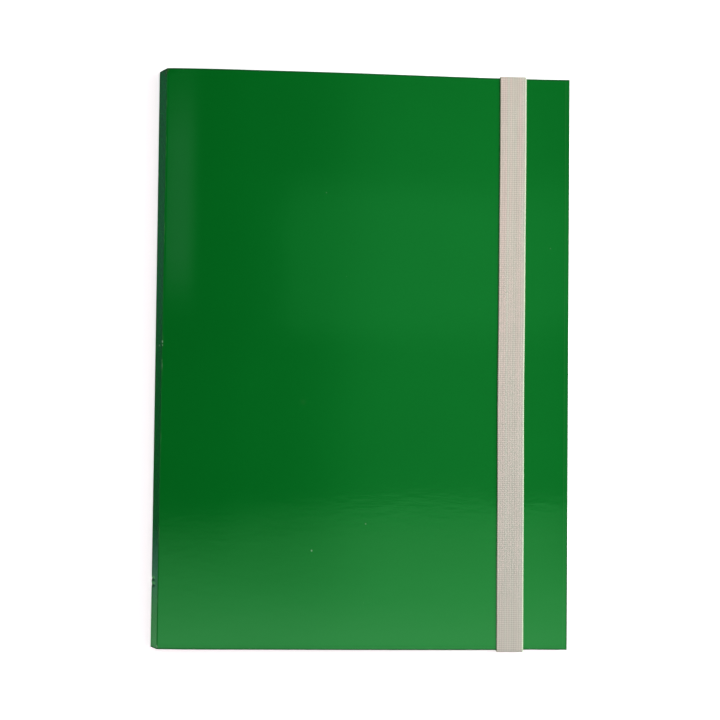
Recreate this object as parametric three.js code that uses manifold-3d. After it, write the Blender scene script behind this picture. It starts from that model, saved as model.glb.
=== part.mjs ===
// Elastic folder: a closed three-flap document folder of glossy green card with a
// wide woven elastic band. Millimetres. +X runs from the spine to the fore edge,
// +Y from the bottom edge to the top edge, +Z up, away from the surface that the
// folder lies on. The origin is under the middle of the closed folder.
import * as THREE from "three";
import { mergeVertices } from "three/addons/utils/BufferGeometryUtils.js";
import Module from "manifold-3d";

const wasm = await Module();
wasm.setup();

// ---- driving dimensions ----------------------------------------------------
const FOLDER_H = 350; // height of both covers
const COVER_W = 247.2; // width of the front cover, crease to fore edge
const COVER_T = 0.8; // laminated cover card
const SPINE_LEAN = 4.95; // how far the lower crease lies outside the upper one
const REAR_Z = 1.4; // underside of the rear cover, raised by the eyelet heads
const CREASE_Z = 14.8; // height of the upper crease
const CREASE_GAP = 0.15; // half of the slit that stands for each crease
const UPPER_CREASE_X = -121.167;

// front cover: height of its outer face against the distance from the crease
const BOW = [
  [0, 14.8],
  [22, 15.3],
  [60, 14.05],
  [110, 11.75],
  [150, 8.8],
  [190, 5.85],
  [216, 4.5],
  [247.2, 5.15],
];
const BOW_STEPS = 22;

const FLAP_T = 0.35; // card of the inner flaps
const GLUE_LINE = 0.02;
const TAB = 14; // depth of each flap's glued tab
const END_FLAP_DEPTH = 96; // top and bottom flaps
const SIDE_FLAP_DEPTH = 104;
const FLAP_EDGE = 0.6; // the flaps' folds stand this far inside the rear cover's edges

const BAND_X0 = 204.3; // band's left edge, from the upper crease
const BAND_W = 16.5;
const BAND_T = 1.0;
const BAND_WRAP = 0.75; // gap between the card's edge and the inside of the band
const BAND_TAIL = 30; // length of each end behind the rear cover
const BAND_FILLET = 0.9; // inside radius where the band turns

const EYELET_Y = 157; // from the middle to each eyelet's axis
const EYELET_HEAD_R = 4.6;
const EYELET_HEAD_T = 0.4;
const EYELET_BARREL_R = 2.5;
const EYELET_BORE_R = 2.05;
const EYELET_CLINCH_R = 3.9;
const EYELET_CLINCH_T = 0.3;
const PUNCH_R = 2.8; // punched hole in card and band

// ---- materials -------------------------------------------------------------
const material = (name, color, roughness, metalness) =>
  Object.assign(
    new THREE.MeshStandardMaterial({ color, roughness, metalness }),
    { name },
  );
const coverMat = material("cover_card", 0x0b6a24, 0.12, 0);
const flapMat = material("flap_card", 0x0f6f2c, 0.35, 0);
const bandMat = material("woven_elastic", 0xc8c0b2, 0.9, 0);
const eyeletMat = material("nickel", 0xb9bbbd, 0.3, 1);

// ---- helpers ---------------------------------------------------------------
const group = new THREE.Group();

function addMesh(name, geometry, mat) {
  geometry.computeVertexNormals();
  const mesh = new THREE.Mesh(geometry, mat);
  mesh.name = name;
  group.add(mesh);
  return mesh;
}

function toSolid(geometry) {
  const g = geometry.clone();
  g.deleteAttribute("normal");
  g.deleteAttribute("uv");
  const merged = mergeVertices(g, 1e-4);
  return new wasm.Manifold(
    new wasm.Mesh({
      numProp: 3,
      vertProperties: new Float32Array(merged.attributes.position.array),
      triVerts: new Uint32Array(merged.index.array),
    }),
  );
}

function fromSolid(solid) {
  const m = solid.getMesh();
  const out = new Float32Array(m.numVert * 3);
  for (let i = 0; i < m.numVert; i++)
    for (let k = 0; k < 3; k++) out[i * 3 + k] = m.vertProperties[i * m.numProp + k];
  const indexed = new THREE.BufferGeometry();
  indexed.setAttribute("position", new THREE.BufferAttribute(out, 3));
  indexed.setIndex(new THREE.BufferAttribute(new Uint32Array(m.triVerts), 1));
  return indexed.toNonIndexed();
}

const shapeOf = (pts) => new THREE.Shape(pts.map(([a, b]) => new THREE.Vector2(a, b)));

// A profile given as [x, z] points, extruded along Y from y0 to y1.
function extrudeAlongY(pts, y0, y1, steps = 1) {
  const g = new THREE.ExtrudeGeometry(shapeOf(pts), {
    depth: y1 - y0,
    steps,
    bevelEnabled: false,
    curveSegments: 6,
  });
  g.rotateX(Math.PI / 2); // (x, y, z) -> (x, -z, y)
  g.translate(0, y1, 0);
  return g;
}

// A profile given as [y, z] points, extruded along X from x0 to x1.
function extrudeAlongX(pts, x0, x1, steps = 1) {
  const g = new THREE.ExtrudeGeometry(shapeOf(pts), {
    depth: x1 - x0,
    steps,
    bevelEnabled: false,
  });
  g.rotateY(Math.PI / 2);
  g.rotateX(Math.PI / 2); // profile's first axis -> Y, second -> Z, depth -> X
  g.translate(x0, 0, 0);
  return g;
}

// An outline given as [x, y] points, extruded along Z.
function extrudeAlongZ(pts, z0, z1) {
  const g = new THREE.ExtrudeGeometry(shapeOf(pts), {
    depth: z1 - z0,
    bevelEnabled: false,
  });
  g.translate(0, 0, z0);
  return g;
}

const cylinderAt = (r, x, y, z0, z1, segments = 32) =>
  new THREE.CylinderGeometry(r, r, z1 - z0, segments)
    .rotateX(Math.PI / 2)
    .translate(x, y, (z0 + z1) / 2);

// A natural cubic spline through the given [x, z] points.
function naturalSpline(knots) {
  const n = knots.length;
  const x = knots.map((k) => k[0]);
  const y = knots.map((k) => k[1]);
  const a = new Array(n).fill(0);
  const b = new Array(n).fill(1);
  const c = new Array(n).fill(0);
  const d = new Array(n).fill(0);
  for (let i = 1; i < n - 1; i++) {
    const h0 = x[i] - x[i - 1];
    const h1 = x[i + 1] - x[i];
    a[i] = h0;
    b[i] = 2 * (h0 + h1);
    c[i] = h1;
    d[i] = 6 * ((y[i + 1] - y[i]) / h1 - (y[i] - y[i - 1]) / h0);
  }
  for (let i = 1; i < n; i++) {
    const w = a[i] / b[i - 1];
    b[i] -= w * c[i - 1];
    d[i] -= w * d[i - 1];
  }
  const m = new Array(n).fill(0);
  for (let i = n - 1; i >= 0; i--) m[i] = (d[i] - (c[i] || 0) * (m[i + 1] || 0)) / b[i];
  return (t) => {
    let i = 0;
    while (i < n - 2 && t > x[i + 1]) i++;
    const h = x[i + 1] - x[i];
    const u = (x[i + 1] - t) / h;
    const v = (t - x[i]) / h;
    return (
      u * y[i] + v * y[i + 1] + ((u ** 3 - u) * m[i] + (v ** 3 - v) * m[i + 1]) * h * h / 6
    );
  };
}

// ---- the creased cover -----------------------------------------------------
const half = FOLDER_H / 2;
const P_UP = [UPPER_CREASE_X, CREASE_Z]; // outer corner of the upper crease
const P_LOW = [UPPER_CREASE_X - SPINE_LEAN, REAR_Z]; // outer corner of the lower crease
const REAR_TOP = REAR_Z + COVER_T;
const rearEdgeX = P_LOW[0] + COVER_W;

const sub = (p, q) => [p[0] - q[0], p[1] - q[1]];
const unit = (v) => {
  const l = Math.hypot(v[0], v[1]);
  return [v[0] / l, v[1] / l];
};
const along = (p, v, s) => [p[0] + v[0] * s, p[1] + v[1] * s];

const bow = naturalSpline(BOW);
const bowPoint = (t) => [UPPER_CREASE_X + t, bow(t)];
const bowSlope = (t) => (bow(t + 0.05) - bow(t - 0.05)) / 0.1;

// direction of the spine, of the front cover where it leaves the crease, and the
// bisectors that the panels are mitred on
const dSpine = unit(sub(P_UP, P_LOW));
const dFront = unit([1, bowSlope(0.1)]);
const bisUp = unit([-dSpine[0] + dFront[0], -dSpine[1] + dFront[1]]);
const bisLow = unit([dSpine[0] + 1, dSpine[1]]);
// length of each mitre, and how far along the panel its inner corner lies
const mitre = (bis, dir) => COVER_T / Math.abs(bis[0] * dir[1] - bis[1] * dir[0]);
const inUp = along(P_UP, bisUp, mitre(bisUp, dSpine));
const inLow = along(P_LOW, bisLow, mitre(bisLow, dSpine));

{
  // front cover: outer face, then back along the inner face
  const outer = [];
  const inner = [];
  for (let i = 0; i <= BOW_STEPS; i++) {
    const t = (COVER_W * i) / BOW_STEPS;
    const p = bowPoint(t);
    const s = bowSlope(Math.min(Math.max(t, 0.06), COVER_W - 0.06));
    const n = unit([s, -1]);
    outer.push(i ? p : along(P_UP, dFront, CREASE_GAP));
    inner.push(i ? along(p, n, COVER_T) : along(inUp, dFront, CREASE_GAP));
  }
  addMesh(
    "front_cover",
    extrudeAlongY([...outer, ...inner.reverse()], -half, half),
    coverMat,
  );
}

addMesh(
  "spine",
  extrudeAlongY(
    [
      along(P_LOW, dSpine, CREASE_GAP),
      along(inLow, dSpine, CREASE_GAP),
      along(inUp, dSpine, -CREASE_GAP),
      along(P_UP, dSpine, -CREASE_GAP),
    ],
    -half,
    half,
  ),
  coverMat,
);

const bandX0 = UPPER_CREASE_X + BAND_X0;
const bandX1 = bandX0 + BAND_W;
const eyeletX = (bandX0 + bandX1) / 2;

{
  // rear cover, with a punched hole for each eyelet
  let rear = toSolid(
    extrudeAlongY(
      [
        along(P_LOW, [1, 0], CREASE_GAP),
        [rearEdgeX, REAR_Z],
        [rearEdgeX, REAR_TOP],
        along(inLow, [1, 0], CREASE_GAP),
      ],
      -half,
      half,
    ),
  );
  for (const side of [1, -1])
    rear = rear.subtract(
      toSolid(cylinderAt(PUNCH_R, eyeletX, side * EYELET_Y, REAR_Z - 1, REAR_TOP + 1)),
    );
  addMesh("rear_cover", fromSolid(rear), coverMat);
}

// ---- inner flaps -----------------------------------------------------------
// Section of a flap: glued tab, fold, and the panel turned back over it. The first
// axis runs from the fold inwards.
function flapSection(tabZ, panelZ, depth) {
  const bottom = tabZ;
  const top = panelZ + FLAP_T;
  const r = (top - bottom) / 2;
  const ri = r - FLAP_T;
  const cz = bottom + r;
  const pts = [[TAB, bottom]];
  const N = 6;
  for (let i = 0; i <= N; i++) {
    const a = -Math.PI / 2 - (Math.PI * i) / N;
    pts.push([r + r * Math.cos(a), cz + r * Math.sin(a)]);
  }
  pts.push([depth, top], [depth, top - FLAP_T]);
  for (let i = N; i >= 0; i--) {
    const a = -Math.PI / 2 - (Math.PI * i) / N;
    pts.push([r + ri * Math.cos(a), cz + ri * Math.sin(a)]);
  }
  pts.push([TAB, bottom + FLAP_T]);
  return pts;
}

const tabZ = REAR_TOP + GLUE_LINE;
const endPanelZ = tabZ + FLAP_T + 0.05; // top and bottom flaps
const sidePanelZ = endPanelZ + FLAP_T + 0.05; // side flap, over both
const foldX = rearEdgeX - FLAP_EDGE;
const spineSideX = P_LOW[0] + 5.5;

for (const side of [1, -1]) {
  const fold = half - FLAP_EDGE;
  const section = flapSection(tabZ, endPanelZ, END_FLAP_DEPTH).map(([d, z]) => [
    side * (fold - d),
    z,
  ]);
  if (side > 0) section.reverse();
  let flap = toSolid(extrudeAlongX(section, spineSideX, foldX - 1.2));
  // outline: square at the fold, slanted sides towards the free edge
  const y0 = side * (fold + 1);
  const yTab = side * (fold - 2);
  const yEnd = side * (fold - END_FLAP_DEPTH - 1);
  const outline = [
    [spineSideX - 1, y0],
    [foldX, y0],
    [foldX - 1.2, yTab],
    [foldX - 22, yEnd],
    [spineSideX + 16, yEnd],
    [spineSideX, yTab],
  ];
  if (side > 0) outline.reverse();
  flap = flap.intersect(toSolid(extrudeAlongZ(outline, 0, 10)));
  // the glued tab is relieved round the eyelet's clinched end
  flap = flap.subtract(
    toSolid(
      cylinderAt(
        EYELET_CLINCH_R + 1.2,
        eyeletX,
        side * EYELET_Y,
        REAR_TOP - 0.2,
        tabZ + FLAP_T + 0.025,
      ),
    ),
  );
  addMesh(side > 0 ? "top_flap" : "bottom_flap", fromSolid(flap), flapMat);
}

{
  const section = flapSection(tabZ, sidePanelZ, SIDE_FLAP_DEPTH).map(([d, z]) => [
    foldX - d,
    z,
  ]);
  section.reverse();
  const yTab = half - FLAP_EDGE - TAB - 1;
  let flap = toSolid(extrudeAlongY(section, -yTab, yTab));
  const outline = [
    [foldX + 1, -yTab - 1],
    [foldX + 1, yTab + 1],
    [foldX - 2, yTab],
    [foldX - SIDE_FLAP_DEPTH - 1, yTab - 26],
    [foldX - SIDE_FLAP_DEPTH - 1, -yTab + 26],
    [foldX - 2, -yTab],
  ];
  flap = flap.intersect(toSolid(extrudeAlongZ(outline, 0, 10)));
  addMesh("side_flap", fromSolid(flap), flapMat);
}

// ---- elastic band ----------------------------------------------------------
// A flat strap: over the front cover, round both edges, and under the rear cover,
// where an eyelet holds each end.
{
  const wrap = half + BAND_WRAP;
  const zIn = REAR_Z - GLUE_LINE; // top of the tails, against the rear cover
  const zOut = zIn - BAND_T; // underside of the tails
  const zTop = 5.1; // underside of the top run at the band's left edge
  const rIn = BAND_FILLET;
  const rOut = BAND_FILLET + BAND_T;
  const arc = (cy, cz, r, a0, a1, n = 5) =>
    Array.from({ length: n + 1 }, (_, i) => {
      const a = a0 + ((a1 - a0) * i) / n;
      return [cy + r * Math.cos(a), cz + r * Math.sin(a)];
    });
  const q = Math.PI / 2;
  const tail = half - BAND_TAIL;
  const cy = wrap - rIn;
  const lowC = zIn + rIn; // centre height of the lower turns
  const topC = zTop - rIn;
  const outerLoop = [
    [tail, zOut],
    ...arc(cy, lowC, rOut, -q, 0),
    ...arc(cy, topC, rOut, 0, q),
    ...arc(-cy, topC, rOut, q, 2 * q),
    ...arc(-cy, lowC, rOut, 2 * q, 3 * q),
    [-tail, zOut],
  ];
  const innerLoop = [
    [-tail, zIn],
    ...arc(-cy, lowC, rIn, 3 * q, 2 * q),
    ...arc(-cy, topC, rIn, 2 * q, q),
    ...arc(cy, topC, rIn, q, 0),
    ...arc(cy, lowC, rIn, 0, -q),
    [tail, zIn],
  ];
  const strap = extrudeAlongX([...outerLoop, ...innerLoop], bandX0, bandX1);
  // the top run follows the slope of the cover under it
  const pos = strap.attributes.position;
  const drop = bow(BAND_X0) - bow(BAND_X0 + BAND_W);
  for (let i = 0; i < pos.count; i++) {
    const t = (pos.getX(i) - bandX0) / BAND_W;
    if (pos.getZ(i) > (lowC + topC) / 2) pos.setZ(i, pos.getZ(i) - drop * t);
  }
  let band = toSolid(strap);
  for (const side of [1, -1])
    band = band.subtract(
      toSolid(cylinderAt(PUNCH_R, eyeletX, side * EYELET_Y, -1, REAR_Z + 1)),
    );
  addMesh("elastic_band", fromSolid(band), bandMat);
}

// ---- eyelets ---------------------------------------------------------------
// Rolled head under the band, barrel through band and card, clinched inside.
const bandUnder = REAR_Z - GLUE_LINE - BAND_T;
const eyeletProfile = [
  [EYELET_BORE_R, 0.18],
  [EYELET_BORE_R + 0.25, 0],
  [EYELET_HEAD_R - 0.35, 0],
  [EYELET_HEAD_R, EYELET_HEAD_T * 0.55],
  [EYELET_HEAD_R, bandUnder - 0.02],
  [EYELET_BARREL_R, bandUnder - 0.02],
  [EYELET_BARREL_R, REAR_TOP + 0.02],
  [EYELET_CLINCH_R, REAR_TOP + 0.02],
  [EYELET_CLINCH_R - 0.1, REAR_TOP + EYELET_CLINCH_T * 0.6],
  [EYELET_BARREL_R + 0.3, REAR_TOP + EYELET_CLINCH_T],
  [EYELET_BORE_R, REAR_TOP + EYELET_CLINCH_T],
  [EYELET_BORE_R, 0.18],
].map(([r, z]) => new THREE.Vector2(r, z));

for (const side of [1, -1]) {
  const lathe = new THREE.LatheGeometry(eyeletProfile, 32);
  lathe.rotateX(Math.PI / 2); // axis from Y to Z
  const eyelet = addMesh(
    side > 0 ? "upper_eyelet" : "lower_eyelet",
    lathe,
    eyeletMat,
  );
  eyelet.position.set(eyeletX, side * EYELET_Y, 0);
}

export default group;
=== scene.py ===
# Closed elastic folder: a creased cover of glossy green card, three inner flaps and
# a woven elastic band. Everything is in metres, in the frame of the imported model.
# Working values are millimetres until a mesh is made.
import math

import bpy
import numpy as np
from mathutils import Matrix, Vector


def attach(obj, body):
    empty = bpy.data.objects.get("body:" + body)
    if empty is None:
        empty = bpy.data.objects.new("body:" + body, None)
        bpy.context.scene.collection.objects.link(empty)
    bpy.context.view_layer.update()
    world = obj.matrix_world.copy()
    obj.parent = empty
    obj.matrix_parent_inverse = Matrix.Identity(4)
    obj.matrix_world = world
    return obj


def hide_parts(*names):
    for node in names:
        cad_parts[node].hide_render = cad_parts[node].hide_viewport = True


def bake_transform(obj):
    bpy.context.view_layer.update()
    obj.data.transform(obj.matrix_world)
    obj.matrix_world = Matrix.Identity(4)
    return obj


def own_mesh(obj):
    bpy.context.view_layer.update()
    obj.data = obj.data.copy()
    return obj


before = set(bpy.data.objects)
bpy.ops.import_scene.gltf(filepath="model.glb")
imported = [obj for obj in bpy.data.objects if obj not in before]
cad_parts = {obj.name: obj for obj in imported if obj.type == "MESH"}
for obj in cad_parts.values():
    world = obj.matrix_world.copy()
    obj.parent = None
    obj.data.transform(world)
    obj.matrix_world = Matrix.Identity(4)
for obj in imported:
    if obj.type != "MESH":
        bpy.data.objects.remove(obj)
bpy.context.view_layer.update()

MM = 0.001

# ---- sizes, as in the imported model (millimetres) -----------------------------
HALF = 175.0  # half of the covers' height
COVER_W = 247.2
CARD_T = 0.8
P_LOW = np.array([-126.117, 1.4])  # outer corner of the lower crease, x and z
P_UP = np.array([-121.167, 14.8])  # outer corner of the upper crease
REAR_EDGE_X = P_LOW[0] + COVER_W
BOW = np.array(
    [
        [0, 14.8],
        [22, 15.3],
        [60, 14.05],
        [110, 11.75],
        [150, 8.8],
        [190, 5.85],
        [216, 4.5],
        [247.2, 5.15],
    ]
)
CREASE_R = 0.9  # outer radius of both creases
SEAM = 4.0  # height on the spine where its two meshes meet
ROUND = 0.12  # the cut edges' radius

FLAP_T = 0.35
FOLD = HALF - 0.6
FOLD_X = REAR_EDGE_X - 0.6
SPINE_SIDE_X = P_LOW[0] + 5.5
TAB = 14.0
TAB_Z = 2.22
END_PANEL_Z = 2.62
SIDE_PANEL_Z = 3.02
END_DEPTH = 96.0
SIDE_DEPTH = 104.0

BAND_T0 = 204.3  # band's left edge, from the upper crease
BAND_W = 16.5
BAND_T = 1.0
BAND_X = P_UP[0] + BAND_T0
BAND_TAIL = 30.0
PICK = 1.24  # spacing of the band's weft
RIBS = 11
EYELET_X = BAND_X + BAND_W / 2
EYELET_Y = 157.0


# ---- small maths -------------------------------------------------------------
def natural_spline(knots):
    """The height and the slope of a natural cubic spline through knots."""
    x, y = knots[:, 0].astype(float), knots[:, 1].astype(float)
    n = len(x)
    a = np.zeros((n, n))
    d = np.zeros(n)
    a[0, 0] = a[-1, -1] = 1
    for i in range(1, n - 1):
        h0, h1 = x[i] - x[i - 1], x[i + 1] - x[i]
        a[i, i - 1], a[i, i], a[i, i + 1] = h0, 2 * (h0 + h1), h1
        d[i] = 6 * ((y[i + 1] - y[i]) / h1 - (y[i] - y[i - 1]) / h0)
    m = np.linalg.solve(a, d)

    def height(t):
        t = np.asarray(t, float)
        i = np.clip(np.searchsorted(x, t, side="right") - 1, 0, n - 2)
        h = x[i + 1] - x[i]
        u, v = (x[i + 1] - t) / h, (t - x[i]) / h
        return (
            u * y[i]
            + v * y[i + 1]
            + ((u**3 - u) * m[i] + (v**3 - v) * m[i + 1]) * h * h / 6
        )

    return height


bow = natural_spline(BOW)


def smooth(x, lo, hi):
    t = np.clip((np.asarray(x, float) - lo) / (hi - lo), 0, 1)
    return t * t * (3 - 2 * t)


def unit(v):
    v = np.asarray(v, float)
    return v / np.linalg.norm(v)


D_SPINE = unit(P_UP - P_LOW)
D_FRONT = unit([1.0, (bow(0.1) - bow(0.0)) / 0.1])
SPINE_L = float(np.linalg.norm(P_UP - P_LOW))


class Path:
    """A dense polyline in a plane with its outward side on the left, by arc length."""

    def __init__(self, points):
        p = np.asarray(points, float)
        step = np.linalg.norm(np.diff(p, axis=0), axis=1)
        keep = np.concatenate([[True], step > 1e-9])
        p = p[keep]
        self.p = p
        self.s = np.concatenate([[0], np.cumsum(np.linalg.norm(np.diff(p, axis=0), axis=1))])
        self.length = float(self.s[-1])
        d = np.gradient(p, self.s, axis=0)
        d /= np.linalg.norm(d, axis=1)[:, None]
        self.d = d

    def at(self, u):
        a = np.interp(u, self.s, self.p[:, 0])
        b = np.interp(u, self.s, self.p[:, 1])
        da = np.interp(u, self.s, self.d[:, 0])
        db = np.interp(u, self.s, self.d[:, 1])
        n = np.hypot(da, db)
        return a, b, -db / n, da / n


def corner(p, d_in, d_out, r, steps=24):
    """Points of the arc that rounds the corner p between two directions."""
    turn = math.acos(float(np.clip(np.dot(d_in, d_out), -1, 1)))
    t = r * math.tan(turn / 2)
    start = p - d_in * t
    side = math.copysign(1, d_in[0] * d_out[1] - d_in[1] * d_out[0])
    centre = start + side * r * np.array([-d_in[1], d_in[0]])
    out = []
    for i in range(steps + 1):
        a = side * turn * i / steps
        c, s = math.cos(a), math.sin(a)
        v = start - centre
        out.append(centre + np.array([c * v[0] - s * v[1], s * v[0] + c * v[1]]))
    return out, t


def straight(p, q, step=0.25):
    n = max(2, int(np.linalg.norm(np.asarray(q) - np.asarray(p)) / step))
    return [np.asarray(p) + (np.asarray(q) - np.asarray(p)) * i / n for i in range(n + 1)]


def lines(length, cuts, step, ends=(True, True), r=ROUND):
    """Grid lines over 0..length: fine inside the cuts [(from, to, step)], plus the rounding."""
    out = [0.0, length]
    if ends[0]:
        out += [r * k for k in (0.15, 0.45, 1.0)]
    if ends[1]:
        out += [length - r * k for k in (0.15, 0.45, 1.0)]
    a = r if ends[0] else 0.0
    b = length - r if ends[1] else length
    marks = [a, b]
    for lo, hi, _ in cuts:
        marks += [lo, hi]
    marks = sorted(m for m in set(marks) if a <= m <= b)
    for lo, hi in zip(marks[:-1], marks[1:]):
        mid = (lo + hi) / 2
        s = min([c[2] for c in cuts if c[0] <= mid <= c[1]] + [step])
        n = max(1, int(round((hi - lo) / s)))
        out += [lo + (hi - lo) * i / n for i in range(n + 1)]
    out = sorted(out)
    kept = [out[0]]
    for x in out[1:]:
        if x - kept[-1] > 1e-4:
            kept.append(x)
    kept[-1] = length
    return np.array(kept)


def object_from(name, co, faces, uv=None, groups=None, materials=(), sharp=40):
    """A mesh object from points in millimetres, with one UV layer in metres."""
    mesh = bpy.data.meshes.new(name)
    mesh.from_pydata((np.asarray(co) * MM).tolist(), [], [list(map(int, f)) for f in faces])
    mesh.update()
    # outward faces: a closed mesh has a positive volume
    mesh.calc_loop_triangles()
    t = np.array([x.vertices[:] for x in mesh.loop_triangles])
    c = np.asarray(co) * MM
    volume = np.einsum("ij,ij->i", c[t[:, 0]], np.cross(c[t[:, 1]], c[t[:, 2]])).sum()
    if volume < 0:
        mesh.flip_normals()
    if uv is not None:
        layer = mesh.uv_layers.new(name="sheet")
        idx = np.zeros(len(mesh.loops), int)
        mesh.loops.foreach_get("vertex_index", idx)
        layer.data.foreach_set("uv", (np.asarray(uv) * MM)[idx].astype(np.float32).ravel())
    for m in materials:
        mesh.materials.append(m)
    if groups is not None:
        mesh.polygons.foreach_set("material_index", np.asarray(groups, np.int32))
    mesh.shade_smooth()
    mesh.set_sharp_from_angle(angle=math.radians(sharp))
    obj = bpy.data.objects.new(name, mesh)
    bpy.context.scene.collection.objects.link(obj)
    return obj


def slab(name, us, vs, thick, place, materials, ends=(True, True), r=ROUND, hs=None):
    """A closed sheet: a box grid us x vs x its thickness, with its cut edges rounded, each
    point put in place by place(u, v, depth under the outer face). The three materials are
    for the outer face, the inner face and the cut edges."""
    if hs is None:
        hs = np.array([0, 0.15 * r, 0.45 * r, r, thick / 2, thick - r, thick - 0.45 * r, thick - 0.15 * r, thick])
    nu, nv, nh = len(us), len(vs), len(hs)
    index = -np.ones((nu, nv, nh), int)
    edge = np.zeros((nu, nv, nh), bool)
    edge[[0, -1], :, :] = edge[:, [0, -1], :] = edge[:, :, [0, -1]] = True
    index[edge] = np.arange(edge.sum())
    i, j, k = np.nonzero(edge)
    q = np.stack([us[i], vs[j], hs[k]], 1)
    lo = np.array([us[0] + (r if ends[0] else 0), vs[0] + r, hs[0] + r])
    hi = np.array([us[-1] - (r if ends[1] else 0), vs[-1] - r, hs[-1] - r])
    inner = np.clip(q, lo, hi)
    out = q - inner
    # the flat end of a seam keeps its plane
    n = np.linalg.norm(out, axis=1)
    n[n == 0] = 1
    q2 = inner + out / n[:, None] * np.minimum(r, np.linalg.norm(out, axis=1) * 1e9)[:, None]
    x, y, z = place(q2[:, 0], q2[:, 1], q2[:, 2])
    co = np.stack([x, y, z], 1)
    faces, groups = [], []

    def quads(grid, group):
        a, b = grid[:-1, :-1].ravel(), grid[1:, :-1].ravel()
        c, d = grid[1:, 1:].ravel(), grid[:-1, 1:].ravel()
        faces.append(np.stack([a, b, c, d], 1))
        groups.append(np.full(len(a), group))

    quads(index[:, :, 0], 0)
    quads(index[:, :, -1][:, ::-1], 1)
    quads(index[:, 0, :][::-1], 2)
    quads(index[:, -1, :], 2)
    quads(index[0, :, :], 2)
    quads(index[-1, :, :][::-1], 2)
    return object_from(
        name,
        co,
        np.concatenate(faces),
        uv=np.stack([q[:, 0], q[:, 1]], 1),
        groups=np.concatenate(groups),
        materials=materials,
    )


def lathe(name, profile, x, y, material, segments=64):
    """A closed ring: profile [(radius, z)] turned about a vertical axis at x, y."""
    p = np.array(profile, float)
    a = np.arange(segments) * 2 * math.pi / segments
    co = np.stack(
        [
            x + np.outer(p[:, 0], np.cos(a)),
            y + np.outer(p[:, 0], np.sin(a)),
            np.repeat(p[:, 1][:, None], segments, 1),
        ],
        2,
    ).reshape(-1, 3)
    n = len(p)
    faces = []
    for i in range(n):
        for k in range(segments):
            k2, i2 = (k + 1) % segments, (i + 1) % n
            faces.append(
                [i * segments + k, i * segments + k2, i2 * segments + k2, i2 * segments + k]
            )
    return object_from(name, co, faces, materials=[material], sharp=50)


def bore(obj, x, y, r, z0, z1):
    """Cuts a round hole through a sheet, with a cylinder that is then removed."""
    seg = 48
    a = np.arange(seg) * 2 * math.pi / seg
    ring = np.stack([x + r * np.cos(a), y + r * np.sin(a)], 1)
    co = np.concatenate(
        [np.column_stack([ring, np.full(seg, z0)]), np.column_stack([ring, np.full(seg, z1)])]
    )
    faces = [list(range(seg))[::-1], list(range(seg, 2 * seg))] + [
        [k, (k + 1) % seg, seg + (k + 1) % seg, seg + k] for k in range(seg)
    ]
    mesh = bpy.data.meshes.new("cutter")
    mesh.from_pydata((co * MM).tolist(), [], faces)
    cutter = bpy.data.objects.new("cutter", mesh)
    bpy.context.scene.collection.objects.link(cutter)
    mod = obj.modifiers.new("hole", "BOOLEAN")
    mod.operation = "DIFFERENCE"
    mod.object = cutter
    mod.solver = "EXACT"
    bpy.context.view_layer.update()
    done = bpy.data.meshes.new_from_object(
        obj.evaluated_get(bpy.context.evaluated_depsgraph_get())
    )
    obj.modifiers.clear()
    old = obj.data
    obj.data = done
    bpy.data.meshes.remove(old)
    bpy.data.objects.remove(cutter)
    bpy.data.meshes.remove(mesh)


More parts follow.
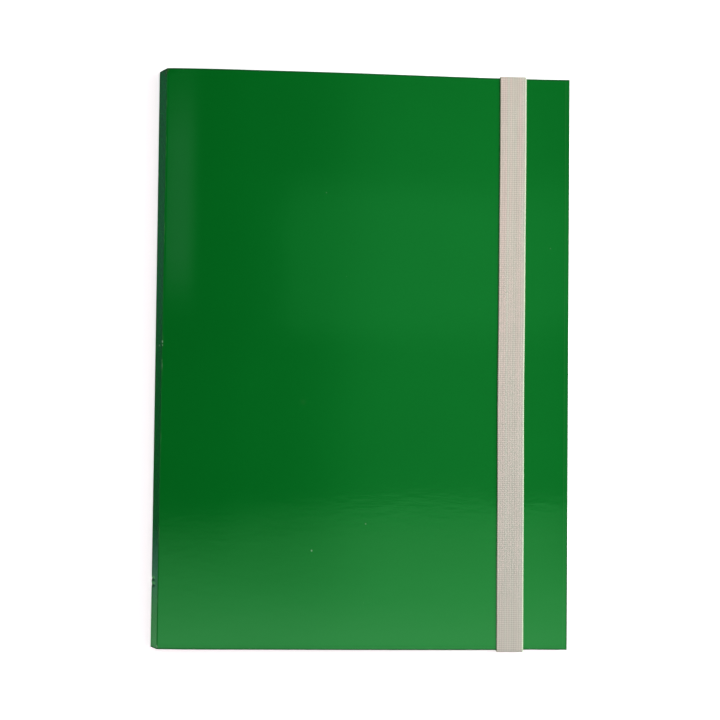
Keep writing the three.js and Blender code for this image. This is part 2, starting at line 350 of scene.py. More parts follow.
# ---- node helpers ------------------------------------------------------------
class Nodes:
    def __init__(self, tree):
        self.t = tree

    def new(self, kind, **settings):
        n = self.t.nodes.new(kind)
        for k, v in settings.items():
            setattr(n, k, v)
        return n

    def put(self, socket, value):
        if isinstance(value, bpy.types.NodeSocket):
            self.t.links.new(value, socket)
        elif value is not None:
            socket.default_value = value

    def math(self, op, a, b=None, c=None, clamp=False):
        n = self.new("ShaderNodeMath", operation=op, use_clamp=clamp)
        for s, v in zip(n.inputs, (a, b, c)):
            self.put(s, v)
        return n.outputs[0]

    def add(self, *v):
        out = v[0]
        for x in v[1:]:
            out = self.math("ADD", out, x)
        return out

    def mul(self, *v):
        out = v[0]
        for x in v[1:]:
            out = self.math("MULTIPLY", out, x)
        return out

    def near(self, a, b):
        return self.math("ABSOLUTE", self.math("SUBTRACT", a, b))

    def ramp(self, value, lo, hi, to_lo=0.0, to_hi=1.0):
        n = self.new("ShaderNodeMapRange", interpolation_type="SMOOTHSTEP")
        for s, v in zip(n.inputs, (value, lo, hi, to_lo, to_hi)):
            self.put(s, v)
        return n.outputs[0]

    def linear(self, value, lo, hi, to_lo=0.0, to_hi=1.0):
        n = self.new("ShaderNodeMapRange", interpolation_type="LINEAR")
        for s, v in zip(n.inputs, (value, lo, hi, to_lo, to_hi)):
            self.put(s, v)
        return n.outputs[0]

    def mix(self, factor, a, b):
        n = self.new("ShaderNodeMix", data_type="RGBA", clamp_factor=True)
        self.put(n.inputs[0], factor)
        self.put(n.inputs[6], a)
        self.put(n.inputs[7], b)
        return n.outputs[2]

    def tint(self, colour, value):
        """colour times a number."""
        n = self.new("ShaderNodeVectorMath", operation="SCALE")
        self.put(n.inputs[0], colour)
        self.put(n.inputs[3], value)
        return n.outputs[0]

    def xyz(self, x, y, z=0.0):
        n = self.new("ShaderNodeCombineXYZ")
        for s, v in zip(n.inputs, (x, y, z)):
            self.put(s, v)
        return n.outputs[0]

    def split(self, v):
        n = self.new("ShaderNodeSeparateXYZ")
        self.put(n.inputs[0], v)
        return n.outputs[0], n.outputs[1], n.outputs[2]

    def noise(self, vector, scale, detail=2.0, rough=0.5, distortion=0.0):
        n = self.new("ShaderNodeTexNoise")
        self.put(n.inputs["Vector"], vector)
        n.inputs["Scale"].default_value = scale
        n.inputs["Detail"].default_value = detail
        n.inputs["Roughness"].default_value = rough
        n.inputs["Distortion"].default_value = distortion
        return n.outputs[0]

    def cells(self, vector, scale, randomness=1.0):
        n = self.new("ShaderNodeTexVoronoi")
        self.put(n.inputs["Vector"], vector)
        n.inputs["Scale"].default_value = scale
        n.inputs["Randomness"].default_value = randomness
        return n.outputs["Distance"], n.outputs["Color"]

    def bump(self, height, distance, normal=None, strength=1.0):
        n = self.new("ShaderNodeBump")
        n.inputs["Strength"].default_value = strength
        n.inputs["Distance"].default_value = distance
        self.put(n.inputs["Height"], height)
        if normal is not None:
            self.put(n.inputs["Normal"], normal)
        return n.outputs[0]

    def sheet_uv(self):
        """The two lengths over a sheet, in metres, which go with it when it bends."""
        n = self.new("ShaderNodeUVMap", uv_map="sheet")
        u, v, _ = self.split(n.outputs[0])
        return n.outputs[0], u, v

    def spot(self, u, v, cu, cv, r0, r1, aspect=1.0):
        """1 within r0 of a point and 0 beyond r1, stretched along v by aspect (mm)."""
        du = self.math("SUBTRACT", u, cu * MM)
        dv = self.mul(self.math("SUBTRACT", v, cv * MM), 1 / aspect)
        d = self.math("SQRT", self.add(self.mul(du, du), self.mul(dv, dv)))
        return self.ramp(d, r0 * MM, r1 * MM, 1.0, 0.0)


def material(name):
    m = bpy.data.materials.new(name)
    m.use_nodes = True
    m.node_tree.nodes.clear()
    g = Nodes(m.node_tree)
    shader = g.new("ShaderNodeBsdfPrincipled")
    out = g.new("ShaderNodeOutputMaterial")
    m.node_tree.links.new(shader.outputs[0], out.inputs[0])
    return m, g, shader


# ---- where the features of the cover lie, by length over the sheet --------------
crease_arc, CREASE_CUT = corner(P_UP, D_SPINE, D_FRONT, CREASE_R)
spine_start = P_LOW + D_SPINE * SEAM
t_line = np.linspace(CREASE_CUT, COVER_W, 1400)
front_path = Path(
    straight(spine_start, crease_arc[0])
    + crease_arc[1:]
    + [np.array([P_UP[0] + t, float(bow(t))]) for t in t_line[1:]]
)
SPINE_PART = SPINE_L - SEAM - CREASE_CUT  # the length of spine before the upper crease
ARC_L = CREASE_R * math.acos(float(np.dot(D_SPINE, D_FRONT)))
U_CREASE = SPINE_PART + ARC_L / 2
U_FRONT = front_path.length

rear_arc, REAR_CUT = corner(P_LOW, np.array([-1.0, 0.0]), D_SPINE, CREASE_R)
rear_path = Path(
    straight(np.array([REAR_EDGE_X, P_LOW[1]]), rear_arc[0])
    + rear_arc[1:]
    + straight(rear_arc[-1], spine_start)[1:]
)
REAR_PART = COVER_W - REAR_CUT
U_REAR = rear_path.length


def skew(y):
    """How far the lower crease strays from a straight line, as in the photograph."""
    return -0.50 - 0.45 * y / HALF + 0.1 * (1 - (y / HALF) ** 2)


def dent(y):
    """Two small dents in the spine's lower edge."""
    return 0.34 * np.exp(-(((y + 133.8) / 0.7) ** 2)) + 0.30 * np.exp(
        -(((y + 137.2) / 0.8) ** 2)
    )


def ripple(t, y):
    """The card is nearly flat: long, low waves across the front cover."""
    return (
        0.035 * np.sin(0.041 * y + 0.013 * t + 0.6)
        + 0.028 * np.sin(0.071 * y - 0.019 * t + 2.1)
        + 0.020 * np.sin(0.117 * y + 0.027 * t + 4.0)
    )


def place_front(u, v, h):
    x, z, nx, nz = front_path.at(u)
    on_spine = u < SPINE_PART + ARC_L / 2
    from_low = np.where(on_spine, 1 - np.clip((SEAM + u) / SPINE_L, 0, 1), 0)
    t = np.clip(x - P_UP[0], 0, COVER_W)
    calm = smooth(t, 6, 40) * (1 - smooth(t, 190, 205) * (1 - smooth(t, 221, 236)))
    z = z + 0.5 * ripple(t, v) * calm * (t > 0)
    # beyond the band the card lies a little lower, and its fore edge isn't quite true
    z = z + smooth(t, 214, COVER_W) * (-0.5 + 0.2 * v / HALF)
    x = x + 0.33 * smooth(t, 214, COVER_W)
    # a worn corner bends down a little where the spine meets the top edge
    worn = np.exp(-(((u - U_CREASE) / 2.6) ** 2)) * np.exp(-(((v - HALF) / 1.8) ** 2))
    z = z - 0.28 * worn
    x = x + 0.18 * worn
    x = x + skew(v) * from_low + dent(v) * smooth(from_low, 0.35, 0.75)
    # the sheet isn't cut quite square
    top = 0.0015 * smooth(t, 0, 240) * (v > 0)
    foot = 0.0017 * smooth(t, 60, 190) * (1 - smooth(t, 200, 222)) * (v < 0)
    return x - nx * h, v * (1 + top + foot), z - nz * h


def place_rear(u, v, h):
    x, z, nx, nz = rear_path.at(u)
    on_spine = u > REAR_PART + (U_REAR - REAR_PART) * 0.3
    up = np.clip((u - (U_REAR - SEAM)) / SPINE_L, 0, 1)
    share = np.where(u > U_REAR - SEAM, 1 - up, np.clip(u / REAR_PART, 0, 1))
    x = x + skew(v) * share + dent(v) * smooth(share, 0.35, 0.75) * smooth(
        u, REAR_PART - 2.5, REAR_PART + 1.0
    )
    return x - nx * h, v, z - nz * h


# ---- materials ---------------------------------------------------------------
GREEN = (0.0008, 0.1000, 0.0092, 1.0)
GREEN_SHEEN = (0.15, 1.0, 0.30, 1.0)


def glossy_cover(name, crease_u, edge_u, spine_dir):
    """Film over green card. crease_u is where its crease lies and edge_u where its fore edge is, in millimetres
    over the sheet; spine_dir holds where the fore edge lies and the spots and rubs to mark."""
    m, g, s = material(name)
    uv, u, v = g.sheet_uv()
    # the colour: large soft clouds and a fine mottle
    cloud = g.noise(uv, 11.0, 3.0, 0.55)
    fine = g.noise(uv, 620.0, 2.0, 0.6)
    shade = g.add(
        g.linear(cloud, 0.3, 0.7, 0.975, 1.03), g.linear(fine, 0.3, 0.7, -0.018, 0.018)
    )
    base = g.tint(GREEN[:3], shade)
    # dust: small pale specks, few of them
    d1, c1 = g.cells(uv, 1 / 0.025)
    r1, _, _ = g.split(c1)
    size1 = g.linear(r1, 0.0, 1.0, 0.007, 0.018)
    dust1 = g.mul(g.ramp(d1, g.mul(size1, 0.45), size1, 1.0, 0.0), g.ramp(r1, 0.3, 0.55))
    d2, c2 = g.cells(g.xyz(g.add(u, 3.7), g.add(v, 1.9)), 1 / 0.014)
    r2, _, _ = g.split(c2)
    dust2 = g.mul(g.ramp(d2, 0.012, 0.034, 1.0, 0.0), g.ramp(r2, 0.72, 0.9))
    dust = g.math("MAXIMUM", g.mul(dust1, 0.30), g.mul(dust2, 0.20))
    # along the crease, in short lengths: partly whitened film, partly a painted highlight, strongest over the
    # stretch where the crease catches the light
    off = g.near(u, crease_u * MM)
    breaks = g.noise(g.xyz(g.mul(u, 300.0), g.mul(v, 60.0)), 1.0, 3.0, 0.65)
    crease_whitening_and_highlight = g.mul(
        g.ramp(off, 0.00018, 0.00055, 1.0, 0.0), g.ramp(breaks, 0.52, 0.68)
    )
    crease_highlight_stretch = g.mul(g.ramp(v, -0.012, 0.004), g.ramp(v, 0.066, 0.040))
    worn = g.mul(crease_whitening_and_highlight, g.linear(crease_highlight_stretch, 0.0, 1.0, 0.10, 0.55))
    for cu, cv, r0, r1_, aspect, k in spine_dir["spots"]:
        worn = g.math("MAXIMUM", worn, g.mul(g.spot(u, v, cu, cv, r0, r1_, aspect), k))
    grit = g.ramp(g.noise(uv, 1500.0, 2.0, 0.6), 0.35, 0.6, 0.55, 1.0)
    worn = g.mul(worn, grit)
    # rubbed corners show the brown of the board
    rub = None
    for cu, cv, r0, r1_, aspect, k in spine_dir["rubs"]:
        q = g.mul(g.spot(u, v, cu, cv, r0, r1_, aspect), k)
        rub = q if rub is None else g.math("MAXIMUM", rub, q)
    rub = g.mul(rub, g.ramp(g.noise(uv, 700.0, 3.0, 0.6), 0.32, 0.58, 0.35, 1.0))
    base = g.mix(rub, base, (0.030, 0.052, 0.014, 1))
    # worn: wear spots and whitened film, with the painted crease highlight
    base = g.mix(worn, base, (0.30, 0.45, 0.31, 1))
    base = g.mix(dust, base, (0.24, 0.44, 0.26, 1))
    # the film's edge: a faint line beside the fore edge and the bottom edge
    fore = g.ramp(g.near(u, (edge_u) * MM), 0.00012, 0.00034, 1.0, 0.0)
    foot = g.ramp(g.near(v, (-HALF + 1.8) * MM), 0.00012, 0.00030, 1.0, 0.0)
    edge_line = g.math("MAXIMUM", fore, g.mul(foot, 0.7))
    base = g.mix(g.mul(edge_line, 0.05), base, (0.14, 0.30, 0.16, 1))
    # painted shade: the colour darkens within about a millimetre of the top, bottom and fore edges, and the film
    # is rougher there
    edge_shade = g.math(
        "MAXIMUM",
        g.ramp(g.math("ABSOLUTE", v), (HALF - 1.05) * MM, (HALF - 0.50) * MM),
        g.ramp(g.near(u, spine_dir["fore"] * MM), 0.00095, 0.00045, 0.0, 1.0),
    )
    base = g.mix(g.mul(edge_shade, 0.8), base, (0.0010, 0.034, 0.0060, 1))
    g.put(s.inputs["Base Color"], base)
    # gloss: smooth film, dulled by dust, wear and faint hand marks
    smear = g.noise(g.xyz(g.mul(u, 0.5), v), 26.0, 3.0, 0.6)
    rough = g.add(
        g.linear(smear, 0.35, 0.75, 0.045, 0.072),
        g.mul(dust, 0.35),
        g.mul(worn, 0.45),
        g.mul(rub, 0.45),
        g.mul(edge_shade, 0.38),
    )
    g.put(s.inputs["Roughness"], rough)
    s.inputs["IOR"].default_value = 1.5
    s.inputs["Specular Tint"].default_value = GREEN_SHEEN
    # surface: streaky waves from the rolled film, orange peel, then fine texture
    streak = g.noise(g.xyz(g.mul(u, 85.0), g.mul(v, 340.0)), 1.0, 3.0, 0.55)
    broad = g.noise(g.xyz(g.mul(u, 24.0), g.mul(v, 48.0)), 1.0, 2.0, 0.5)
    peel = g.noise(uv, 330.0, 2.0, 0.5)
    n = g.bump(broad, 0.000024)
    n = g.bump(streak, 0.000015, n)
    n = g.bump(peel, 0.0000042, n)
    n = g.bump(g.math("MAXIMUM", edge_line, g.mul(dust, 0.5)), 0.000015, n)
    g.put(s.inputs["Normal"], n)
    return m


def plain_card(name, colour, rough, grain=1.0):
    """Uncoated dyed card: a felted surface of short fibres."""
    m, g, s = material(name)
    uv, u, v = g.sheet_uv()
    fibre = g.noise(g.xyz(g.mul(u, 1500.0), g.mul(v, 420.0)), 1.0, 3.0, 0.6, 0.6)
    fibre2 = g.noise(g.xyz(g.mul(u, 380.0), g.mul(v, 1400.0)), 1.0, 3.0, 0.6, 0.6)
    cloud = g.noise(uv, 90.0, 4.0, 0.6)
    shade = g.add(
        g.linear(fibre, 0.3, 0.7, 0.95 - 0.02 * grain, 1.03 + 0.02 * grain),
        g.linear(fibre2, 0.3, 0.7, -0.03 * grain, 0.03 * grain),
        g.linear(cloud, 0.3, 0.7, -0.03, 0.03),
    )
    g.put(s.inputs["Base Color"], g.tint(colour, shade))
    g.put(s.inputs["Roughness"], g.linear(cloud, 0.3, 0.7, rough - 0.05, rough + 0.05))
    s.inputs["IOR"].default_value = 1.45
    n = g.bump(g.add(fibre, fibre2), 0.000012)
    n = g.bump(cloud, 0.00003, n)
    g.put(s.inputs["Normal"], n)
    return m


def cut_edge(name, colour):
    """The cut side of board: layers along the sheet."""
    m, g, s = material(name)
    co = g.new("ShaderNodeTexCoord").outputs["Object"]
    n1 = g.noise(co, 900.0, 3.0, 0.65)
    n2 = g.noise(co, 160.0, 2.0, 0.5)
    shade = g.add(g.linear(n1, 0.3, 0.7, 0.82, 1.12), g.linear(n2, 0.3, 0.7, -0.08, 0.08))
    g.put(s.inputs["Base Color"], g.tint(colour, shade))
    s.inputs["Roughness"].default_value = 0.75
    g.put(s.inputs["Normal"], g.bump(n1, 0.00004))
    return m


def woven_elastic(name):
    """Covered rubber warps in ribs with a weft over and under them."""
    m, g, s = material(name)
    uv, u, v = g.sheet_uv()  # u along the band, v across it
    across = g.mul(v, 1 / (BAND_W * MM))
    rib = g.mul(across, float(RIBS))
    rib_no = g.math("FLOOR", rib)
    wn = g.new("ShaderNodeTexWhiteNoise", noise_dimensions="1D")
    g.put(wn.inputs["W"], g.add(rib_no, 0.37))
    wr, wg, wb = g.split(wn.outputs["Color"])
    # each rib's yarn runs a little pinker or greener, and drifts along its length
    drift = g.noise(g.xyz(g.mul(u, 22.0), g.mul(rib_no, 7.31)), 1.0, 2.0, 0.5)
    pink = g.linear(g.add(g.mul(wr, 0.4), g.mul(drift, 0.6)), 0.3, 0.7, 0.0, 1.0)
    warm = (0.475, 0.422, 0.366, 1)
    cool = (0.440, 0.449, 0.374, 1)
    base = g.mix(pink, cool, warm)
    # painted shade: the band runs greyer and darker towards its lower end
    lower_end_shade = g.ramp(u, 0.10, 0.36)
    grey = g.noise(g.xyz(g.mul(u, 40.0), g.mul(v, 120.0)), 1.0, 3.0, 0.6)
    base = g.mix(g.mul(lower_end_shade, 0.6), base, (0.386, 0.407, 0.350, 1))
    # painted shade: darker in the gaps between ribs and in the troughs between picks (low)
    turn = g.mul(u, 2 * math.pi / (PICK * MM))
    pick = g.math("SINE", turn)
    gap = g.math("COSINE", g.mul(rib, 2 * math.pi))
    rib_gap_shade = g.mul(g.ramp(gap, 0.35, 1.0), 0.15)
    low = g.mul(g.ramp(pick, 0.1, -1.0), g.linear(wg, 0.0, 1.0, 0.08, 0.22))
    lint = g.noise(g.xyz(g.mul(u, 2600.0), g.mul(v, 2600.0)), 1.0, 2.0, 0.6)
    # paler and greener along the left selvedge; along the right selvedge, a painted highlight with the cover's
    # green mirrored in it
    hem_l = g.ramp(across, 0.060, 0.035)
    right_edge_highlight = g.ramp(across, 0.945, 0.97)
    base = g.mix(g.mul(hem_l, 0.7), base, (0.500, 0.515, 0.395, 1))
    base = g.mix(g.mul(right_edge_highlight, 0.9), base, (0.520, 0.660, 0.470, 1))
    shade = g.add(
        1.0,
        g.mul(rib_gap_shade, -1.0),
        g.mul(low, -1.0),
        g.linear(grey, 0.3, 0.7, -0.025, 0.025),
        g.linear(lint, 0.3, 0.7, -0.04, 0.04),
    )
    g.put(s.inputs["Base Color"], g.tint(base, shade))
    s.inputs["Roughness"].default_value = 0.82
    s.inputs["Sheen Weight"].default_value = 0.12
    s.inputs["Sheen Roughness"].default_value = 0.5
    s.inputs["Specular IOR Level"].default_value = 0.3
    # the yarn's own twist
    strand = g.math(
        "SINE", g.add(g.mul(u, 2 * math.pi / 0.00042), g.mul(v, 2 * math.pi / 0.0006))
    )
    n = g.bump(strand, 0.00002)
    n = g.bump(lint, 0.00003, n)
    g.put(s.inputs["Normal"], n)
    return m


def nickel(name):
    m, g, s = material(name)
    co = g.new("ShaderNodeTexCoord").outputs["Object"]
    n1 = g.noise(co, 500.0, 3.0, 0.6)
    n2 = g.noise(co, 2600.0, 2.0, 0.6)
    g.put(s.inputs["Base Color"], g.mix(n1, (0.60, 0.58, 0.54, 1), (0.70, 0.68, 0.64, 1)))
    s.inputs["Metallic"].default_value = 1.0
    g.put(s.inputs["Roughness"], g.linear(n1, 0.3, 0.7, 0.20, 0.34))
    g.put(s.inputs["Normal"], g.bump(n2, 0.000006))
    return m


FRONT_MARKS = {
    "fore": U_FRONT,
    "spots": [
        # (over the sheet, along the crease, inner and outer radius, stretch, strength)
        (U_CREASE - 0.1, 8.6, 0.22, 0.62, 1.5, 1.0),
        (U_CREASE + 0.1, 6.4, 0.15, 0.45, 1.4, 0.7),
        (U_CREASE - 0.2, -2.6, 0.12, 0.4, 1.6, 0.4),
        (5.2, 6.6, 0.25, 0.7, 1.2, 0.55),
        (U_CREASE - 0.4, -173.6, 0.35, 1.1, 1.6, 0.55),
        (U_CREASE + 85.2, -26.6, 0.3, 2.6, 1.0, 0.016),
        (U_CREASE + 91.5, -115.8, 0.25, 0.7, 1.0, 0.6),
        (U_CREASE + 124.0, -99.5, 0.2, 0.6, 1.0, 0.35),
    ],
    "rubs": [
        (U_CREASE - 2.4, 172.6, 0.9, 2.6, 1.2, 0.75),
        (U_CREASE + 0.2, 173.9, 0.4, 1.3, 1.3, 0.65),
        (2.0, 173.9, 0.4, 1.5, 1.0, 0.5),
        (1.2, -173.6, 0.5, 1.8, 1.0, 0.5),
    ],
}
REAR_MARKS = {
    "fore": 0.0,
    "spots": [
        (REAR_PART + 0.6, -172.2, 0.4, 1.3, 1.3, 0.6),
        (REAR_PART + 0.8, -169.0, 0.2, 0.8, 1.3, 0.4),
        (REAR_PART + 1.0, -135.4, 0.2, 0.7, 2.6, 0.3),
    ],
    "rubs": [
        (REAR_PART + 0.8, 174.2, 0.5, 2.0, 1.0, 0.6),
        (REAR_PART + 0.8, -174.4, 0.5, 1.7, 1.0, 0.55),
    ],
}

front_gloss = glossy_cover("cover_film_front", U_CREASE, U_FRONT - 2.4, FRONT_MARKS)
rear_gloss = glossy_cover("cover_film_rear", REAR_PART + 0.86, 2.4, REAR_MARKS)
card_inside = plain_card("cover_inside", (0.0065, 0.090, 0.0165), 0.55, 1.2)
card_edge = cut_edge("cover_cut_edge", (0.0035, 0.034, 0.0075))
flap_face = plain_card("flap_card", (0.0045, 0.098, 0.0135), 0.42)
flap_edge = cut_edge("flap_cut_edge", (0.0045, 0.060, 0.0100))
elastic = woven_elastic("woven_elastic")
metal = nickel("eyelet_nickel")

# ---- the cover ---------------------------------------------------------------
# lengths along the crease run from the bottom edge, so the dents are near 38 mm
y_lines = lines(2 * HALF, [(34.5, 45.0, 0.4), (0.2, 5.0, 0.8), (345.0, 349.8, 0.8)], 3.4)
y_lines = y_lines - HALF

cover = slab(
    "front_cover_and_spine",
    lines(
        U_FRONT,
        [
            (0.0, SPINE_PART, 1.0),
            (SPINE_PART, SPINE_PART + ARC_L, 0.11),
            (SPINE_PART + ARC_L, SPINE_PART + ARC_L + 6, 0.9),
            (U_FRONT - 6, U_FRONT - ROUND, 1.2),
        ],
        2.6,
        ends=(False, True),
    ),
    y_lines,
    CARD_T,
    place_front,
    [front_gloss, card_inside, card_edge],
    ends=(False, True),
)
rear = slab(
    "rear_cover_sheet",
    lines(
        U_REAR,
        [
            (REAR_PART - 6, REAR_PART, 0.9),
            (REAR_PART, U_REAR - (SEAM - REAR_CUT), 0.11),
            (U_REAR - (SEAM - REAR_CUT), U_REAR, 0.7),
        ],
        4.0,
        ends=(True, False),
    ),
    y_lines,
    CARD_T,
    place_rear,
    [rear_gloss, card_inside, card_edge],
    ends=(True, False),
)
for side in (1, -1):
    bore(rear, EYELET_X, side * EYELET_Y, 2.8, 0.5, 3.0)


# ---- inner flaps -------------------------------------------------------------
def flap_path(panel_z, depth):
    """Tab, fold and panel, as lengths inward from the fold and heights."""
    top = panel_z + FLAP_T
    r = (top - TAB_Z) / 2
    cz = TAB_Z + r
    pts = straight(np.array([TAB, TAB_Z]), np.array([r, TAB_Z]), 0.5)
    for i in range(1, 17):
        a = -math.pi / 2 - math.pi * i / 16
        pts.append(np.array([r + r * math.cos(a), cz + r * math.sin(a)]))
    pts += straight(np.array([r, top]), np.array([depth, top]), 0.5)[1:]
    return Path(pts), TAB - r, math.pi * r


def wave(a, b, size):
    return size * (np.sin(0.031 * a + 0.8) * np.sin(0.043 * b + 0.3))


def end_flap(side):
    path, flat, arc = flap_path(END_PANEL_Z, END_DEPTH)
    width = FOLD_X - 1.2 - SPINE_SIDE_X

    def place(u, v, h):
        d, z, nd, nz = path.at(u)
        d2, z2 = d + nd * h, z + nz * h
        cut = np.clip((d2 - 2.0) / (END_DEPTH - 1.0), 0, 1)
        left = SPINE_SIDE_X + 16.0 * cut
        right = FOLD_X - 1.2 - 20.8 * cut
        x = left + (right - left) * v / width
        return x, side * (FOLD - d2), z2

    us = lines(path.length, [(flat, flat + arc, 0.08)], 3.2, r=0.08)
    vs = lines(width, [], 6.0, r=0.08)
    obj = slab(
        "top_flap_card" if side > 0 else "bottom_flap_card",
        us,
        vs,
        FLAP_T,
        place,
        [flap_face, flap_face, flap_edge],
        r=0.08,
    )
    bore(obj, EYELET_X, side * EYELET_Y, 5.1, 2.0, 2.595)
    return obj


def side_flap():
    path, flat, arc = flap_path(SIDE_PANEL_Z, SIDE_DEPTH)
    tall = HALF - 0.6 - TAB - 1

    def place(u, v, h):
        d, z, nd, nz = path.at(u)
        d2, z2 = d + nd * h, z + nz * h
        cut = np.clip((d2 - 2.0) / (SIDE_DEPTH - 1.0), 0, 1)
        half = tall - 26.0 * cut
        return FOLD_X - d2, (v - tall) * half / tall, z2

    us = lines(path.length, [(flat, flat + arc, 0.08)], 3.2, r=0.08)
    vs = lines(2 * tall, [], 6.0, r=0.08)
    return slab(
        "side_flap_card", us, vs, FLAP_T, place, [flap_face, flap_face, flap_edge], r=0.08
    )


top_flap, bottom_flap, fore_flap = end_flap(1), end_flap(-1), side_flap()


# ---- elastic band ------------------------------------------------------------
def strap():
    """A ribbed strap along its route: under the rear cover, up round the edge, over the
    front cover and down again. Its outer side has ribs and picks in relief."""
    rc = 0.9 + BAND_T / 2
    z_low = 1.38 - BAND_T / 2
    z_top = 5.05 + BAND_T / 2
    wrap_hi, wrap_lo = 175.75 + BAND_T / 2 - 0.22, 175.75 + BAND_T / 2 - 0.16
    tail = HALF - BAND_TAIL
    pts = straight([tail, z_low], [wrap_hi - rc, z_low], 0.2)
    q = math.pi / 2

    def arc(cy, cz, a0, a1):
        return [
            np.array([cy + rc * math.cos(a), cz + rc * math.sin(a)])
            for a in np.linspace(a0, a1, 13)[1:]
        ]

    pts += arc(wrap_hi - rc, z_low + rc, -q, 0)
    pts += straight(pts[-1], [wrap_hi, z_top - rc], 0.2)[1:]
    pts += arc(wrap_hi - rc, z_top - rc, 0, q)
    pts += straight(pts[-1], [-(wrap_lo - rc), z_top], 0.2)[1:]
    pts += arc(-(wrap_lo - rc), z_top - rc, q, 2 * q)
    pts += straight(pts[-1], [-wrap_lo, z_low + rc], 0.2)[1:]
    pts += arc(-(wrap_lo - rc), z_low + rc, 2 * q, 3 * q)
    pts += straight(pts[-1], [-tail, z_low], 0.2)[1:]
    path = Path([np.asarray(p, float) for p in pts])
    rows = int(path.length / (PICK / 4))
    s = np.arange(rows + 1) * (PICK / 4)
    y, z, ny, nz = path.at(s)
    ny, nz = -ny, -nz  # outwards
    # one ring: the ribbed side with its two rounded selvedges, then the back
    cols = RIBS * 4
    x_out = np.linspace(0.0, BAND_W, cols + 1)
    edge = 0.30
    ring_x, ring_h, ring_w = [], [], []
    for x in x_out:
        d = min(x, BAND_W - x)
        lift = BAND_T / 2 - edge + math.sqrt(max(0.0, edge**2 - max(0.0, edge - d) ** 2))
        ring_x.append(x)
        ring_h.append(lift)
        ring_w.append(1.0)
    for x in np.linspace(BAND_W, 0.0, 9):
        d = min(x, BAND_W - x)
        lift = BAND_T / 2 - edge + math.sqrt(max(0.0, edge**2 - max(0.0, edge - d) ** 2))
        ring_x.append(x)
        ring_h.append(-lift)
        ring_w.append(0.0)
    ring_x, ring_h, ring_w = map(np.array, (ring_x, ring_h, ring_w))
    n = len(ring_x)
    phase = 2 * math.pi * s / PICK
    rib = np.cos(2 * math.pi * ring_x / BAND_W * RIBS)
    rib_no = np.minimum((ring_x / BAND_W * RIBS).astype(int), RIBS - 1)
    strong = np.array([0.8, 0.5, 1.1, 0.55, 0.7, 0.6, 0.7, 0.5, 0.6, 1.15, 0.8])[rib_no]
    relief = (
        -0.075 * np.maximum(rib, -0.2)[None, :]
        + 0.055 * strong[None, :] * np.sin(phase)[:, None]
    ) * ring_w[None, :]
    # the selvedge swells a little at each pick
    at_edge = np.where(ring_x < 0.2, -1.0, np.where(ring_x > BAND_W - 0.2, 1.0, 0.0))
    dx = at_edge[None, :] * 0.05 * np.sin(phase)[:, None]
    # the strap wanders slightly and follows the slope of the cover under it
    wander = 0.05 * np.sin(0.061 * y) - 0.36 * np.exp(-(((y + 22) / 72) ** 2))
    high = smooth(z, 1.9, 4.4)
    drop = (bow(BAND_T0 + ring_x) - bow(BAND_T0))[None, :] * high[:, None]
    h = ring_h[None, :] + relief
    X = BAND_X + 0.1 + 0.985 * ring_x[None, :] + dx + (wander * high)[:, None]
    Y = y[:, None] + ny[:, None] * h
    Z = z[:, None] + nz[:, None] * h + drop
    co = np.stack([X, Y, Z], 2).reshape(-1, 3)
    i = np.arange(rows)[:, None] * n
    k = np.arange(n)[None, :]
    k2 = (k + 1) % n
    quads = np.stack([i + k, i + k2, i + n + k2, i + n + k], 2).reshape(-1, 4)
    faces = quads.tolist() + [list(range(n))[::-1], [rows * n + c for c in range(n)]]
    uv = np.stack(
        [np.repeat(s[:, None], n, 1), np.repeat(ring_x[None, :], rows + 1, 0)], 2
    ).reshape(-1, 2)
    obj = object_from("elastic_strap", co, faces, uv=uv, materials=[elastic], sharp=75)
    return obj, path.length


band, band_length = strap()
for side in (1, -1):
    bore(band, EYELET_X, side * EYELET_Y, 2.8, -0.5, 1.39)

# ---- eyelets -----------------------------------------------------------------
EYELET = [
    (2.05, 0.55),
    (2.06, 0.34),
    (2.12, 0.18),
    (2.26, 0.06),
    (2.50, 0.01),
    (2.90, 0.0),
    (3.50, 0.0),
    (3.95, 0.02),
    (4.30, 0.09),
    (4.52, 0.19),
    (4.60, 0.29),
    (4.58, 0.36),
    (4.30, 0.36),
    (2.50, 0.36),
    (2.50, 1.20),
    (2.50, 2.22),
    (3.70, 2.22),
    (3.90, 2.26),
    (3.88, 2.36),
    (3.60, 2.45),
    (3.10, 2.50),
    (2.60, 2.49),
    (2.25, 2.42),
    (2.08, 2.28),
    (2.05, 2.05),
    (2.05, 1.20),
]
eyelets = {
    name: lathe(name + "_ring", EYELET, EYELET_X, y, metal)
    for name, y in (("upper_eyelet", EYELET_Y), ("lower_eyelet", -EYELET_Y))
}


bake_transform(cover)
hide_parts("front_cover", "spine")

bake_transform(rear)
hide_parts("rear_cover")

for obj, node in ((top_flap, "top_flap"), (bottom_flap, "bottom_flap"), (fore_flap, "side_flap")):
    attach(obj, "rear")
    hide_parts(node)

for node, obj in eyelets.items():
    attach(obj, "rear")
    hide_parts(node)

# when the cover opens, the band comes to rest on the flaps
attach(band, "rear")
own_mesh(band)
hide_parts("elastic_band")


# ---- floor, light and camera --------------------------------------------------
def plane(name, x0, x1, y0, y1, z, mat, down=False):
    mesh = bpy.data.meshes.new(name)
    ring = [(x0, y0, z), (x1, y0, z), (x1, y1, z), (x0, y1, z)]
    mesh.from_pydata(ring[::-1] if down else ring, [], [(0, 1, 2, 3)])
    mesh.materials.append(mat)
    obj = bpy.data.objects.new(name, mesh)
    bpy.context.scene.collection.objects.link(obj)
    return obj


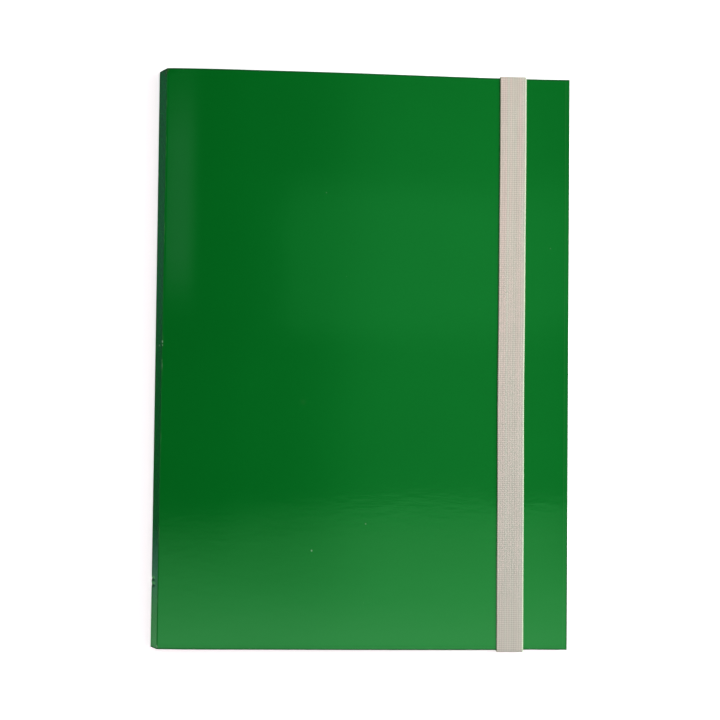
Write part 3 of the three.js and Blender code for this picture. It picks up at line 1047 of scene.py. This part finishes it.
floor_mat, g, s = material("floor_paper")
gco = g.new("ShaderNodeTexCoord").outputs["Object"]
g.put(
    s.inputs["Base Color"],
    g.mix(g.noise(gco, 30.0, 3.0, 0.5), (0.91, 0.91, 0.912, 1), (0.93, 0.93, 0.932, 1)),
)
s.inputs["Roughness"].default_value = 0.9
s.inputs["Specular IOR Level"].default_value = 0.1
s.inputs["Emission Color"].default_value = (0.96, 1.0, 0.985, 1.0)
s.inputs["Emission Strength"].default_value = 0.46
floor = plane("floor", -30, 30, -30, 30, 0.0, floor_mat)
floor.visible_glossy = False  # the cover mirrors the soft room only

# an overhead panel, which the glossy cover mirrors: mostly dark, with a bright part
# towards the bottom edge and soft lighter parts at the upper left and right
panel_mat = bpy.data.materials.new("overhead_panel")
panel_mat.use_nodes = True
panel_mat.node_tree.nodes.clear()
g = Nodes(panel_mat.node_tree)
emit = g.new("ShaderNodeEmission")
out = g.new("ShaderNodeOutputMaterial")
panel_mat.node_tree.links.new(emit.outputs[0], out.inputs[0])
px, py, _ = g.split(g.new("ShaderNodeNewGeometry").outputs["Position"])
# the lower part: a step near the middle on the right, a long soft rise on the left
step_r = g.add(
    g.mul(g.ramp(py, -0.130, -0.151), 1.05),
    g.mul(g.ramp(py, -0.151, -0.22), 0.32),
    g.linear(py, -0.22, -0.36, 0.0, 1.10),
)
step_l = g.add(
    g.mul(g.ramp(py, -0.13, -0.27), 1.60), g.linear(py, -0.25, -0.36, 0.0, 1.30)
)
side_w = g.linear(px, -0.05, 0.42)
bright = g.add(
    g.mul(step_r, side_w), g.mul(step_l, g.math("SUBTRACT", 1.0, side_w))
)
# the rest: a soft rise to the right, and two faint patches
lean = g.mul(g.ramp(px, -0.05, 0.50), g.ramp(py, 0.60, 0.30, 0.52, 0.74))
left_patch = g.mul(
    g.ramp(px, -0.42, -0.33), g.ramp(px, -0.17, -0.30), g.ramp(py, 0.14, 0.26)
)
left_patch = g.mul(left_patch, g.ramp(py, 0.58, 0.42, 0.30, 1.0))
left = g.mul(left_patch, 0.50)
patch = g.mul(g.ramp(px, 0.06, 0.11), g.ramp(py, 0.10, 0.18), g.ramp(py, 0.42, 0.33), 0.42)
total = g.add(bright, lean, left, patch, 0.04)
g.put(emit.inputs["Strength"], total)
warmth = g.ramp(py, -0.10, -0.20)
hue = g.mix(warmth, (0.75, 1.0, 0.92, 1), (1.32, 1.0, 1.10, 1))
hue = g.mix(g.ramp(py, -0.27, -0.36), hue, (1.58, 1.0, 1.22, 1))
g.put(emit.inputs["Color"], g.mix(left_patch, hue, (2.3, 1.0, 2.1, 1)))
panel = plane("overhead", -0.80, 1.05, -0.62, 0.95, 1.7, panel_mat, down=True)
panel.visible_camera = False

world = bpy.data.worlds.new("soft_room")
world.use_nodes = True
world.node_tree.nodes.clear()
g = Nodes(world.node_tree)
background = g.new("ShaderNodeBackground")
out = g.new("ShaderNodeOutputWorld")
world.node_tree.links.new(background.outputs[0], out.inputs[0])
wx, wy, wz = g.split(g.new("ShaderNodeTexCoord").outputs["Generated"])
# brighter towards the horizon, so that the pale floor runs into it
room = g.add(g.linear(wx, -1.0, 1.0, 0.48, 0.62), g.mul(g.ramp(wz, 0.30, 0.02), 0.40))
above = g.mul(g.ramp(wz, -0.02, 0.0), room)
low = g.ramp(wy, -0.04, -0.10)
under = g.mul(
    g.ramp(wz, 0.0, -0.02),
    g.add(
        0.03,
        g.mul(low, 0.42),
        g.mul(g.ramp(wy, -0.09, -0.118), 0.14),
        g.mul(g.ramp(wy, 0.03, 0.12), 0.05),
    ),
)
g.put(background.inputs["Strength"], g.add(above, under))
beneath = g.ramp(wz, 0.0, -0.02)
dim = g.mix(low, (0.85, 1.0, 1.85, 1), (0.45, 1.18, 0.58, 1))
g.put(background.inputs["Color"], g.mix(beneath, (0.985, 0.992, 1.0, 1), dim))
bpy.context.scene.world = world

lamp = bpy.data.lights.new("key", "AREA")
lamp.shape = "SQUARE"
lamp.size = 0.42
lamp.energy = 10.2
lamp.color = (1.0, 0.985, 0.96)
key = bpy.data.objects.new("key", lamp)
bpy.context.scene.collection.objects.link(key)
key.location = (0.78, 0.14, 0.66)
key.rotation_mode = "QUATERNION"
key.rotation_quaternion = Vector(key.location).normalized().to_track_quat("Z", "Y")
key.visible_camera = False

camera = bpy.data.cameras.new("camera")
camera.lens = 84.274
camera.sensor_width = 36.0
camera.sensor_fit = "HORIZONTAL"
camera.clip_start, camera.clip_end = 0.05, 100.0
cam = bpy.data.objects.new("camera", camera)
bpy.context.scene.collection.objects.link(cam)
turn = Matrix(
    (
        (0.99892042, -0.01430113, -0.04419814),
        (0.01185323, 0.99840723, -0.05515893),
        (0.04491658, 0.05457549, 0.99749888),
    )
)
cam.matrix_world = Matrix.Translation((-0.047016, -0.056992, 1.030446)) @ turn.to_4x4()
bpy.context.scene.camera = cam
bpy.context.scene.view_settings.view_transform = "Standard"
bpy.context.scene.view_settings.look = "None"
